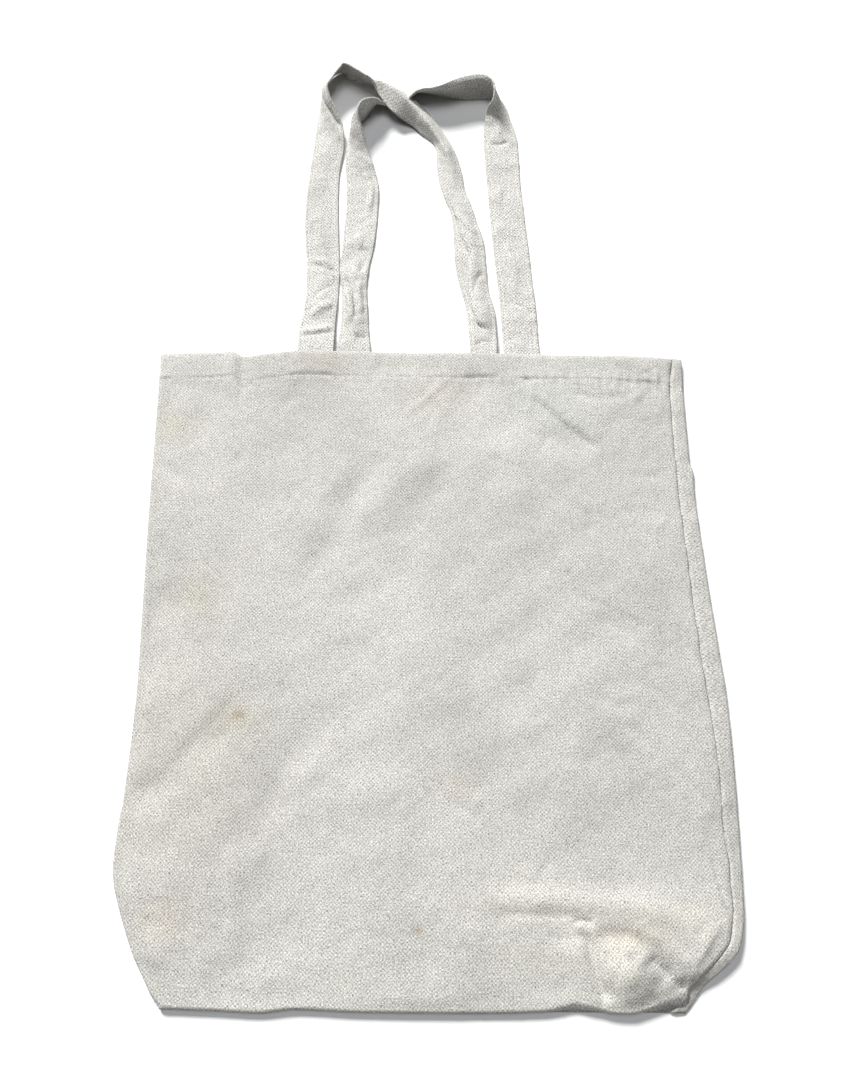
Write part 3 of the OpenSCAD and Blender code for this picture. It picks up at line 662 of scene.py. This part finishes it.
def buildStrap(name, stations, wrinkles, seed):
    rows, along = throughStations(stations, strap["rowStep"])
    outer, crest, inner = rows[:, None, 0:3], rows[:, None, 3:6], rows[:, None, 6:9]
    w = np.linspace(0, 1, strap["across"])[None, :, None]
    first = np.linalg.norm(crest - outer, axis=2)[:, :, None]
    second = np.linalg.norm(inner - crest, axis=2)[:, :, None]
    knee = first / (first + second)
    band = np.where(w < knee, outer + (crest - outer) * w / knee,
                    crest + (inner - crest) * (w - knee) / (1 - knee))
    for n in range(2):
        band[:, 1:-1] = 0.6 * band[:, 1:-1] + 0.2 * (band[:, :-2] + band[:, 2:])
    relax(band, 3)
    up = normalsOf(band)
    v = w[..., 0] * strap["width"] + 0 * along[:, None]
    s = along[:, None] + 0 * v - strap["sewnEnd"]
    total = along[-1] - 2 * strap["sewnEnd"]
    push = np.zeros(v.shape)
    for fold in wrinkles:
        push += strap["wrinkle"] * foldHeight(v, s, fold)
    push += 0.32 * ripple(v * 0.8, s, 34, seed) + 0.09 * ripple(v, s, 11, seed + 1)
    for edge in (strap["topstitchIn"], strap["width"] - strap["topstitchIn"]):
        push -= 0.2 * np.exp(-((v - edge) / 0.8) ** 2)
    push *= smoothStep(-6, 4, s) * smoothStep(-6, 4, total - s)
    band = band + up * push[:, :, None]
    t = strap["thickness"] / 2
    # stretches that stand rest on their folded edge
    standing = 1 - np.abs(up[:, :, 2])
    band[:, :, 2] -= 0.5 * standing * (1 - w[..., 0]) ** 2
    lowest = band[:, :, 2] - t * (1 - 0.5 * standing)
    band[:, :, 2] += np.maximum(0.15 - lowest, 0)
    up = normalsOf(band)
    # round the two folded edges
    over = band + up * t
    below = band - up * t
    sideOut = band[:, :1] - band[:, 1:2]
    sideOut = sideOut / np.linalg.norm(sideOut, axis=2, keepdims=True)
    sideIn = band[:, -1:] - band[:, -2:-1]
    sideIn = sideIn / np.linalg.norm(sideIn, axis=2, keepdims=True)
    around = np.radians([35, 90, 145])
    edgeIn = np.concatenate([band[:, -1:] + sideIn * t * 0.75 * math.sin(a) + up[:, -1:] * t * math.cos(a)
                             for a in around], 1)
    edgeOut = np.concatenate([band[:, :1] + sideOut * t * 0.75 * math.sin(a) - up[:, :1] * t * math.cos(a)
                              for a in around], 1)
    ring = np.concatenate([over, edgeIn, below[:, ::-1], edgeOut], 1)
    ring[:, :, 2] = np.maximum(ring[:, :, 2], 0.05)
    wide = strap["width"]
    place = np.concatenate([w[0, :, 0] * wide, [wide + 0.5, wide + 1.2, wide + 2],
                            wide + 2.5 + (1 - w[0, ::-1, 0]) * wide, [-1.5, -1, -0.5]])
    uv = np.stack([place[None, :] + 0 * along[:, None], along[:, None] + 0 * place[None, :]], -1)
    uv[:, :, 0] += seed * 40
    ring[:, :, 1] += mouthY
    made = makeMesh(name, ring, uv, closed=True)
    return made, band + [0, mouthY, 0], up, float(along[-1])


frontParts = buildStrap("frontHandleStrap", frontStations, frontWrinkles, 51)
frontStrap, frontBand, frontUp, frontLength = frontParts
backParts = buildStrap("backHandleStrap", backStations, backWrinkles, 61)
backStrap, backBand, backUp, backLength = backParts
print("straps", round(frontLength), round(backLength), "mm along")


# Inside pieces: raw seam edges and the folded boxed corners

def clothStrip(name, start, end, wide, low, high, seed):
    # a narrow strip of raw cloth from start to end, rising a little across
    start, end, wide = np.array(start, float), np.array(end, float), np.array(wide, float)
    t = np.linspace(0, 1, max(8, int(np.linalg.norm(end - start) / 3)))[:, None]
    w = np.linspace(0, 1, 5)[None, :]
    frayed = 0.25 * ripple(t * 300, w * 3, 14, seed)
    x = start[0] + (end[0] - start[0]) * t + wide[0] * w * (1 + 0.04 * frayed)
    y = start[1] + (end[1] - start[1]) * t + wide[1] * w * (1 + 0.04 * frayed)
    z = low + (high - low) * w + 0.12 * frayed
    lx, ly = placed(x, y)
    uv = np.stack([x, y], -1) * np.ones(z.shape)[..., None]
    strip = makeMesh(name, np.stack([lx, ly, np.maximum(z, low)], -1), uv)
    return thicken(faceUp(strip), bag["cloth"])


leftAllowance = clothStrip("leftSeamAllowance", (-183, 74), (-183.5, 408), (8, 0), 1.5, 2.6, 71)
rightAllowance = clothStrip("rightSeamAllowance", (184, 74), (180, 408), (-8, 0), 1.5, 2.6, 72)
bottomAllowance = clothStrip("bottomSeamAllowance", (-138, 3), (138, 3), (0, 8), 1.5, 2.6, 73)


def cornerGusset(name, side):
    outline = [(0, 0), (20, 2), (31, 34), (26, 50)]
    base = np.array([(side * (138 + px), 14 + py) for px, py in outline], float)
    u = np.linspace(0, 1, 14)[:, None, None]
    v = np.linspace(0, 1, 14)[None, :, None]
    flat = ((1 - u) * (1 - v) * base[0] + u * (1 - v) * base[1] + u * v * base[2] + (1 - u) * v * base[3])
    z = 1.5 + 0.15 * ripple(flat[..., 0], flat[..., 1], 16, 74)
    lx, ly = placed(flat[..., 0], flat[..., 1])
    gusset = makeMesh(name, np.stack([lx, ly, np.maximum(z, 1.3)], -1), flat)
    return thicken(faceUp(gusset), bag["cloth"])


leftGusset = cornerGusset("leftCornerGusset", -1)
rightGusset = cornerGusset("rightCornerGusset", 1)
print("inside pieces done")


# Stitches: short threads laid along a path by Geometry Nodes

def addNode(tree, kind, settings=None, inputs=None):
    # one node, its settings, and values or links for its inputs
    node = tree.nodes.new(kind)
    for key, value in (settings or {}).items():
        setattr(node, key, value)
    for key, value in (inputs or {}).items():
        if isinstance(value, bpy.types.NodeSocket):
            tree.links.new(value, node.inputs[key])
        else:
            node.inputs[key].default_value = value
    return node


def stitchTree():
    tree = bpy.data.node_groups.new("stitchRow", "GeometryNodeTree")
    face = tree.interface
    face.new_socket("Geometry", in_out="INPUT", socket_type="NodeSocketGeometry")
    for name, value in (("Pitch", 0.003), ("Length", 0.0022), ("Thickness", 0.0004)):
        made = face.new_socket(name, in_out="INPUT", socket_type="NodeSocketFloat")
        made.default_value = value
    face.new_socket("Thread", in_out="INPUT", socket_type="NodeSocketMaterial")
    face.new_socket("Geometry", in_out="OUTPUT", socket_type="NodeSocketGeometry")
    start = addNode(tree, "NodeGroupInput")
    path = addNode(tree, "GeometryNodeMeshToCurve", inputs={"Mesh": start.outputs["Geometry"]})
    points = addNode(tree, "GeometryNodeResampleCurve", {"mode": "LENGTH"},
                     {"Curve": path.outputs["Curve"], "Length": start.outputs["Pitch"]})
    along = addNode(tree, "GeometryNodeInputTangent")
    turned = addNode(tree, "FunctionNodeAlignEulerToVector", {"axis": "X"},
                     {"Vector": along.outputs["Tangent"]})
    ball = addNode(tree, "GeometryNodeMeshUVSphere", inputs={"Segments": 6, "Rings": 5, "Radius": 0.5})
    size = addNode(tree, "ShaderNodeCombineXYZ", inputs={"X": start.outputs["Length"],
                                                         "Y": start.outputs["Thickness"],
                                                         "Z": start.outputs["Thickness"]})
    shaped = addNode(tree, "GeometryNodeTransform", inputs={"Geometry": ball.outputs["Mesh"],
                                                            "Scale": size.outputs["Vector"]})
    laid = addNode(tree, "GeometryNodeInstanceOnPoints",
                   inputs={"Points": points.outputs["Curve"], "Instance": shaped.outputs["Geometry"],
                           "Rotation": turned.outputs["Rotation"]})
    real = addNode(tree, "GeometryNodeRealizeInstances", inputs={"Geometry": laid.outputs["Instances"]})
    smooth = addNode(tree, "GeometryNodeSetShadeSmooth", inputs={"Geometry": real.outputs["Geometry"]})
    finish = addNode(tree, "GeometryNodeSetMaterial", inputs={"Geometry": smooth.outputs["Geometry"],
                                                              "Material": start.outputs["Thread"]})
    end = addNode(tree, "NodeGroupOutput")
    tree.links.new(finish.outputs["Geometry"], end.inputs["Geometry"])
    return tree


stitches = stitchTree()
stitch = {"Pitch": 2.9, "Length": 2.3, "Thickness": 0.42}


def stitchRows(name, paths, material):
    # paths are lists of points in millimetres, each its own row
    vertices = []
    edges = []
    for path in paths:
        first = len(vertices)
        vertices += (np.array(path, float) * mm).tolist()
        edges += [(first + n, first + n + 1) for n in range(len(path) - 1)]
    mesh = bpy.data.meshes.new(name)
    mesh.from_pydata(vertices, edges, [])
    thing = bpy.data.objects.new(name, mesh)
    bpy.context.scene.collection.objects.link(thing)
    rows = thing.modifiers.new("rows", "NODES")
    rows.node_group = stitches
    for item in stitches.interface.items_tree:
        if item.in_out == "INPUT" and item.name in stitch:
            rows[item.identifier] = stitch[item.name] * mm
        if item.in_out == "INPUT" and item.name == "Thread":
            rows[item.identifier] = material
    applyModifiers(thing)
    thing.data.materials.clear()
    thing.data.materials.append(material)
    return thing


# Materials

def newMaterial(name):
    material = bpy.data.materials.new(name)
    material.use_nodes = True
    tree = material.node_tree
    shader = tree.nodes["Principled BSDF"]
    return material, tree, shader


def canvasMaterial(name, look):
    # Unbleached plain-weave cotton: matt, speckled by the over and under of uneven yarns,
    # with seed flecks.
    material, tree, shader = newMaterial(name)
    place = addNode(tree, "ShaderNodeTexCoord")
    cloth = place.outputs["UV"]
    thread = look["threadSpacing"] * mm
    # yarns are thick and thin along their length, so each noise is drawn out one way
    yarns = []
    for across, along, shift in ((1, 5, 3), (5, 1, 8)):
        drawn = addNode(tree, "ShaderNodeMapping", inputs={
            "Vector": cloth, "Location": (shift, shift, 0),
            "Scale": (1 / (thread * across), 1 / (thread * along), 1)})
        yarn = addNode(tree, "ShaderNodeTexNoise", {"noise_dimensions": "2D"},
                       {"Vector": drawn.outputs["Vector"], "Scale": 1.0, "Detail": 1.0, "Roughness": 0.6})
        yarns.append(yarn.outputs["Fac"])
    slub = addNode(tree, "ShaderNodeMath", {"operation": "ADD"}, {0: yarns[0], 1: yarns[1]})
    fine = addNode(tree, "ShaderNodeMapping",
                   inputs={"Vector": cloth, "Scale": (1.3 / thread, 1.3 / thread, 1)})
    fuzz = addNode(tree, "ShaderNodeTexNoise", {"noise_dimensions": "2D"},
                   {"Vector": fine.outputs["Vector"], "Scale": 1.0, "Detail": 1.0, "Roughness": 0.7})
    # the over and under of the weave: a checker of small crowns, each yarn wandering by itself
    part = addNode(tree, "ShaderNodeSeparateXYZ", inputs={"Vector": cloth})
    waves = []
    for axis in (0, 1):
        wander = addNode(tree, "ShaderNodeMath", {"operation": "MULTIPLY"},
                         {0: yarns[axis], 1: look["wander"]})
        turns = addNode(tree, "ShaderNodeMath", {"operation": "MULTIPLY_ADD"},
                        {0: part.outputs[axis], 1: math.pi / thread, 2: wander.outputs[0]})
        waves.append(addNode(tree, "ShaderNodeMath", {"operation": "SINE"}, {0: turns.outputs[0]}))
    weave = addNode(tree, "ShaderNodeMath", {"operation": "MULTIPLY"}, {0: waves[0].outputs[0],
                                                                        1: waves[1].outputs[0]})
    # the three together, 1 on average
    steady = 1 - look["slub"] - 0.5 * look["fuzz"]
    bright = addNode(tree, "ShaderNodeMath", {"operation": "MULTIPLY_ADD"},
                     {0: slub.outputs[0], 1: look["slub"], 2: steady})
    bright = addNode(tree, "ShaderNodeMath", {"operation": "MULTIPLY_ADD"},
                     {0: fuzz.outputs["Fac"], 1: look["fuzz"], 2: bright.outputs[0]})
    bright = addNode(tree, "ShaderNodeMath", {"operation": "MULTIPLY_ADD"},
                     {0: weave.outputs[0], 1: look["weave"], 2: bright.outputs[0]})
    # slow drift of colour, from warm and clean to greyer with handling
    drift = addNode(tree, "ShaderNodeTexNoise", {"noise_dimensions": "3D"},
                    {"Vector": place.outputs["Object"], "Scale": 11.0, "Detail": 4.0, "Roughness": 0.6})
    handled = addNode(tree, "ShaderNodeMapRange", inputs={"Value": drift.outputs["Fac"], "From Min": 0.38,
                                                          "From Max": 0.64})
    base = addNode(tree, "ShaderNodeMix", {"data_type": "RGBA"},
                   {0: handled.outputs["Result"], 6: toLinear(look["clean"]), 7: toLinear(look["handled"])})
    smudge = addNode(tree, "ShaderNodeTexNoise", {"noise_dimensions": "3D"},
                     {"Vector": place.outputs["Object"], "Scale": 36.0, "Detail": 5.0, "Roughness": 0.65})
    dusty = addNode(tree, "ShaderNodeMapRange", inputs={"Value": smudge.outputs["Fac"], "From Min": 0.5,
                                                        "From Max": 0.8, "To Max": look["smudge"]})
    base = addNode(tree, "ShaderNodeMix", {"data_type": "RGBA"},
                   {0: dusty.outputs["Result"], 6: base.outputs[2], 7: toLinear(look["dust"])})
    if look["stainsAndPaintedLight"]:
        # stains, painted shade and painted highlights laid on the cloth's points
        stainAndPaintedLight = addNode(tree, "ShaderNodeAttribute", {"attribute_name": "stainAndPaintedLight"})
        base = addNode(tree, "ShaderNodeMix", {"data_type": "RGBA", "blend_type": "MULTIPLY"},
                       {0: 1.0, 6: base.outputs[2], 7: stainAndPaintedLight.outputs["Color"]})
    # seed flecks: a few dark specks in the yarn
    scattered = addNode(tree, "ShaderNodeMapping", inputs={"Vector": cloth, "Scale": (260, 260, 1)})
    fleck = addNode(tree, "ShaderNodeTexVoronoi", {"voronoi_dimensions": "2D"},
                    {"Vector": scattered.outputs["Vector"], "Scale": 1.0, "Randomness": 1.0})
    near = addNode(tree, "ShaderNodeMapRange", inputs={"Value": fleck.outputs["Distance"], "From Min": 0.16,
                                                       "From Max": 0.08, "To Max": 0.6})
    chance = addNode(tree, "ShaderNodeSeparateColor", inputs={"Color": fleck.outputs["Color"]})
    chosen = addNode(tree, "ShaderNodeMath", {"operation": "GREATER_THAN"},
                     {0: chance.outputs["Red"], 1: 1 - look["flecks"]})
    shown = addNode(tree, "ShaderNodeMath", {"operation": "MULTIPLY"}, {0: near.outputs["Result"],
                                                                        1: chosen.outputs[0]})
    base = addNode(tree, "ShaderNodeMix", {"data_type": "RGBA"},
                   {0: shown.outputs[0], 6: base.outputs[2], 7: toLinear("#5c5142")})
    colour = addNode(tree, "ShaderNodeVectorMath", {"operation": "SCALE"},
                     {0: base.outputs[2], "Scale": bright.outputs[0]})
    tree.links.new(colour.outputs["Vector"], shader.inputs["Base Color"])
    shader.inputs["Roughness"].default_value = 0.92
    shader.inputs["IOR"].default_value = 1.46
    shader.inputs["Specular IOR Level"].default_value = 0.25
    shader.inputs["Sheen Weight"].default_value = 0.08
    shader.inputs["Sheen Roughness"].default_value = 0.6
    bump = addNode(tree, "ShaderNodeBump", inputs={"Height": bright.outputs[0], "Strength": 0.5,
                                                   "Distance": look["bump"] * mm})
    tree.links.new(bump.outputs["Normal"], shader.inputs["Normal"])
    return material


# threads are about 0.65 mm apart on the real cloth, drawn at 1.2 and 1.35 mm so that the weave shows
weaveLook = {"threadSpacing": 1.2, "wander": 5.0, "weave": 0.3, "slub": 0.3, "fuzz": 1.3, "bump": 0.25}
canvas = canvasMaterial("cottonCanvas", {
    **weaveLook, "clean": "#b0aea9", "handled": "#a7a5a1", "dust": "#94928d", "smudge": 0.4, "flecks": 0.02,
    "stainsAndPaintedLight": True})
plainCanvas = canvasMaterial("cottonCanvasInside", {
    **weaveLook, "clean": "#b1afa8", "handled": "#a9a7a1", "dust": "#94928d", "smudge": 0.3, "flecks": 0.02,
    "stainsAndPaintedLight": False})
strapCanvas = canvasMaterial("strapCanvas", {
    **weaveLook, "threadSpacing": 1.35, "weave": 0.38, "fuzz": 1.7, "clean": "#b2b0ac",
    "handled": "#aaa8a4", "dust": "#9a9893", "smudge": 0.4, "flecks": 0.012, "stainsAndPaintedLight": False})


def threadMaterial():
    # Cotton sewing thread: off-white, matt, with a fine twist.
    material, tree, shader = newMaterial("sewingThread")
    place = addNode(tree, "ShaderNodeTexCoord")
    twist = addNode(tree, "ShaderNodeTexNoise", inputs={"Vector": place.outputs["Object"], "Scale": 2200.0,
                                                        "Detail": 1.0})
    colour = addNode(tree, "ShaderNodeMix", {"data_type": "RGBA"},
                     {0: twist.outputs["Fac"], 6: toLinear("#d0ccc0"), 7: toLinear("#e6e3da")})
    tree.links.new(colour.outputs[2], shader.inputs["Base Color"])
    shader.inputs["Roughness"].default_value = 0.8
    bump = addNode(tree, "ShaderNodeBump", inputs={"Height": twist.outputs["Fac"], "Strength": 0.4,
                                                   "Distance": 0.1 * mm})
    tree.links.new(bump.outputs["Normal"], shader.inputs["Normal"])
    return material


thread = threadMaterial()
for piece in (frontPanel, backPanel):
    piece.data.materials.append(canvas)
for piece in (leftAllowance, rightAllowance, bottomAllowance, leftGusset, rightGusset):
    piece.data.materials.append(plainCanvas)
for piece in (frontStrap, backStrap):
    piece.data.materials.append(strapCanvas)

# Stains, marks of handling, painted shade and painted highlights: x, height, reach across, reach up, colour
# it multiplies by, strength
stainsAndPaintedLight = [
    # (-190, 240) and (-80, 400) are painted shade on the left and along the top, and (0, 0) is painted light
    # along the bottom; together they even out how the key lamp falls across the bag
    (-190, 240, 90, 150, (0.95, 0.945, 0.94), 1), (-80, 400, 110, 70, (0.955, 0.955, 0.955), 1),
    (0, 0, 260, 70, (1.1, 1.1, 1.09), 1), (-150, 130, 50, 60, (0.97, 0.96, 0.94), 1),
    (-118, 171, 3.5, 3, (0.72, 0.6, 0.44), 0.75), (-122, 168, 16, 10, (0.93, 0.91, 0.85), 1),
    (84, 396, 24, 14, (0.88, 0.9, 0.91), 1), (100, 372, 22, 10, (0.87, 0.885, 0.9), 1),
    (122, 424, 20, 9, (0.86, 0.87, 0.88), 1), (146, 422, 12, 8, (0.9, 0.9, 0.9), 1),
    (124, 151, 7, 5, (0.86, 0.87, 0.87), 1), (178, 111, 5, 4, (0.85, 0.85, 0.85), 1),
    (-152, 250, 14, 14, (0.97, 0.955, 0.9), 1), (-176, 375, 14, 10, (0.98, 0.96, 0.9), 1),
    (-157, 50, 13, 11, (0.98, 0.935, 0.9), 1), (-5, 45, 2.2, 2.2, (0.78, 0.68, 0.56), 0.9),
    (-93, 192, 1.6, 1.6, (0.6, 0.58, 0.52), 0.8), (96, 268, 1.5, 1.5, (0.6, 0.6, 0.58), 0.8),
    (55, 77, 1.6, 1.6, (0.7, 0.68, 0.62), 0.8), (1, 126, 2, 1.6, (0.75, 0.72, 0.68), 0.8),
    (-80, 424, 16, 9, (0.975, 0.945, 0.925), 1), (-64, 424, 14, 9, (0.97, 0.95, 0.93), 1),
    # (118, 42) darkens the cloth along the valley above the knob
    (20, 128, 12, 8, (0.98, 0.95, 0.93), 1), (118, 42, 22, 7, (0.92, 0.88, 0.83), 1),
    (60, 30, 40, 10, (0.985, 0.98, 0.965), 1), (12, 400, 22, 12, (0.99, 0.965, 0.94), 1),
    # (150, 52) and (80, 60) are painted highlights along the raised ridge and bulge above the knob
    (150, 52, 30, 10, (1.03, 1.01, 0.98), 1), (80, 60, 50, 8, (1.03, 1.015, 0.99), 1),
    # (148, 5) is painted shade, the dark gap under the lifted right corner; (112, 22) is a painted highlight
    # on the top of the knob's highest lump
    (148, 5, 13, 6, (0.6, 0.6, 0.62), 1), (112, 22, 12, 14, (1.04, 1.03, 1.0), 1),
]


def paintStainsAndLight(thing):
    # one colour for each point, stains together with painted shade and highlights, read by the canvas
    # material as a tint
    co = np.zeros(len(thing.data.vertices) * 3, np.float32)
    thing.data.vertices.foreach_get("co", co)
    co = co.reshape(-1, 3) / mm
    h = co[:, 1] - bottomY
    x = co[:, 0] + bag["lean"] * (h - bag["leanFrom"])
    tint = np.ones((len(co), 4), np.float32)
    for cx, cy, rx, ry, colour, strength in stainsAndPaintedLight:
        reach = strength * np.exp(-((x - cx) / rx) ** 2 - ((h - cy) / ry) ** 2)
        for c in range(3):
            tint[:, c] *= 1 + (colour[c] - 1) * reach
    attribute = thing.data.attributes.new("stainAndPaintedLight", "FLOAT_COLOR", "POINT")
    attribute.data.foreach_set("color", tint.ravel())


paintStainsAndLight(frontPanel)
paintStainsAndLight(backPanel)


def surfaceRow(points, above):
    # points (x, height) carried onto the top of the front panel
    p = np.array(points, float)
    z = topHeight(p[:, 0], p[:, 1])
    lx, ly = placed(p[:, 0], p[:, 1])
    return np.stack([lx, ly, z + above], 1)


xs = np.arange(-178, 172, 2.0)
backHemHeight = 409.0
hemRow = surfaceRow([(x, float(smoothThrough(mouthLine, np.array(x))) - bag["hemLine"]) for x in xs], -0.05)
frontHemThread = stitchRows("frontHemStitches", [hemRow], thread)
backHemRow = [(*placed(x, backHemHeight), 0.1) for x in xs]
backHemInside = [(*placed(x, backHemHeight), 2.35) for x in xs]
backHemThread = stitchRows("backHemStitches", [backHemRow, backHemInside], thread)


def seamRow(edge, shift, low, z):
    hs = np.arange(low, 406, 3.0)
    return [(*placed(float(smoothThrough(edge, np.array(h))) + shift, h), z) for h in hs]


leftSeamThread = stitchRows("leftSeamStitches", [seamRow(leftEdge, 9.6, 76, 0.12)], thread)
rightSeamRow = surfaceRow([(float(smoothThrough(seamLine, np.array(h))) - 0.2, h)
                           for h in np.arange(76, 406, 3.0)], -2.1)
rightSeamThread = stitchRows("rightSeamStitches", [rightSeamRow], thread)
bottomRow = [(*placed(x, 5.0), 2.9) for x in np.arange(-136, 137, 3.0)]
bottomSeamThread = stitchRows("bottomSeamStitches", [bottomRow], thread)


def cornerRow(side):
    # slants up and out over the folded corner
    return [(*placed(side * (144 + 18 * t), 20 + 34 * t), 2.3) for t in np.linspace(0, 1, 10)]


leftCornerThread = stitchRows("leftCornerStitches", [cornerRow(-1)], thread)
rightCornerThread = stitchRows("rightCornerStitches", [cornerRow(1)], thread)


def topstitchRows(band, up):
    # two rows on each face, a little in from the folded edges
    rows = []
    columns = strap["across"] - 1
    for inFrom in (strap["topstitchIn"], strap["width"] - strap["topstitchIn"]):
        c = inFrom / strap["width"] * columns
        k = int(c)
        line = band[:, k] * (1 - c + k) + band[:, k + 1] * (c - k)
        for face in (1, -1):
            row = line + up[:, k] * face * (strap["thickness"] / 2 + 0.02)
            row[:, 2] = np.maximum(row[:, 2], 0.22)
            inside = row[:, 1] > mouthY + 1.5
            rows.append(row[inside][::2])
    return rows


frontTopstitch = stitchRows("frontHandleTopstitches", topstitchRows(frontBand, frontUp), thread)
backTopstitch = stitchRows("backHandleTopstitches", topstitchRows(backBand, backUp), thread)


def tackRows(ends, z):
    # a box of stitches round each sewn end
    rows = []
    for x0, x1 in ends:
        y0, y1 = mouthY - 15, mouthY - 3
        corners = [(x0, y0), (x1, y0), (x1, y1), (x0, y1), (x0, y0)]
        ring = []
        for a, b in zip(corners[:-1], corners[1:]):
            ring += [(a[0] + (b[0] - a[0]) * t, a[1] + (b[1] - a[1]) * t, z)
                     for t in np.linspace(0, 1, 8)[:-1]]
        rows.append(ring + [ring[0]])
    return rows


frontTacks = stitchRows("frontHandleTackStitches", tackRows([(-91, -70), (33, 48)], 6.2), thread)
backTacks = stitchRows("backHandleTackStitches", tackRows([(-65, -44), (58, 78)], 3.7), thread)
print("stitches laid")


# What each piece stands for, how it moves and what it is cut from

pieces = [
    (frontPanel, "canvas", "front_panel", "front_hem"),
    (backPanel, "canvas", "back_panel", "back_hem"),
    (leftAllowance, "canvas", "left_seam_allowance"),
    (rightAllowance, "canvas", "right_seam_allowance"),
    (bottomAllowance, "canvas", "bottom_seam_allowance"),
    (leftGusset, "canvas", "left_corner_gusset"),
    (rightGusset, "canvas", "right_corner_gusset"),
    (frontHemThread, "thread", "front_hem_thread"),
    (backHemThread, "thread", "back_hem_thread"),
    (leftSeamThread, "thread", "left_seam_thread"),
    (rightSeamThread, "thread", "right_seam_thread"),
    (bottomSeamThread, "thread", "bottom_seam_thread"),
    (leftCornerThread, "thread", "left_corner_thread"),
    (rightCornerThread, "thread", "right_corner_thread"),
    (frontTacks, "thread", "front_handle_tack_threads"),
    (backTacks, "thread", "back_handle_tack_threads"),
]
for piece, slot, *nodes in pieces:
    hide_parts(*nodes)
    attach(piece, "bag")
handles = [
    (frontStrap, "front_handle", "strap_canvas",
     "front_handle", "front_handle_left_end", "front_handle_right_end"),
    (frontTopstitch, "front_handle", "thread", "front_handle_topstitch"),
    (backStrap, "back_handle", "strap_canvas",
     "back_handle", "back_handle_left_end", "back_handle_right_end"),
    (backTopstitch, "back_handle", "thread", "back_handle_topstitch"),
]
for piece, body, slot, *nodes in handles:
    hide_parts(*nodes)
    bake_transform(piece)


# Stage, light and camera

def plainFloor():
    mesh = bpy.data.meshes.new("floor")
    mesh.from_pydata([(-9, -9, 0), (9, -9, 0), (9, 9, 0), (-9, 9, 0)], [], [(0, 1, 2, 3)])
    floor = bpy.data.objects.new("floor", mesh)
    bpy.context.scene.collection.objects.link(floor)
    material, tree, shader = newMaterial("whitePaper")
    shader.inputs["Base Color"].default_value = toLinear("#e8e8e8")
    shader.inputs["Roughness"].default_value = 1.0
    shader.inputs["Specular IOR Level"].default_value = 0.0
    mesh.materials.append(material)


def areaLight(name, location, target, size, watts, colour):
    data = bpy.data.lights.new(name, "AREA")
    data.shape = "DISK"
    data.size = size
    data.energy = watts
    data.color = colour
    light = bpy.data.objects.new(name, data)
    bpy.context.scene.collection.objects.link(light)
    light.location = location
    light.rotation_euler = (Vector(target) - Vector(location)).to_track_quat("-Z", "Y").to_euler()


plainFloor()
areaLight("keyLight", (-2.3, 5.0, 4.3), (0, 0, 0), 2.4, 1080, (0.988, 0.997, 0.985))
areaLight("skyLight", (0, 0.2, 3.0), (0, 0, 0), 1.6, 34, (0.97, 0.985, 1.0))
world = bpy.data.worlds.new("studio")
bpy.context.scene.world = world
world.use_nodes = True
world.node_tree.nodes["Background"].inputs["Color"].default_value = (0.95, 0.97, 1.0, 1)
world.node_tree.nodes["Background"].inputs["Strength"].default_value = 0.05
bpy.context.scene.view_settings.view_transform = "Standard"

view = {"place": (0.0026, -0.2711, 0.6132), "tilt": 19.13, "roll": 0.405, "lens": 31.67}


def addCamera():
    data = bpy.data.cameras.new("camera")
    data.lens = view["lens"]
    data.sensor_width = 36
    data.clip_start = 0.01
    camera = bpy.data.objects.new("camera", data)
    bpy.context.scene.collection.objects.link(camera)
    tilt, roll = math.radians(view["tilt"]), math.radians(view["roll"])
    turned = Matrix.Rotation(tilt, 4, "X") @ Matrix.Rotation(roll, 4, "Z")
    camera.matrix_world = Matrix.Translation(view["place"]) @ turned
    bpy.context.scene.camera = camera


addCamera()
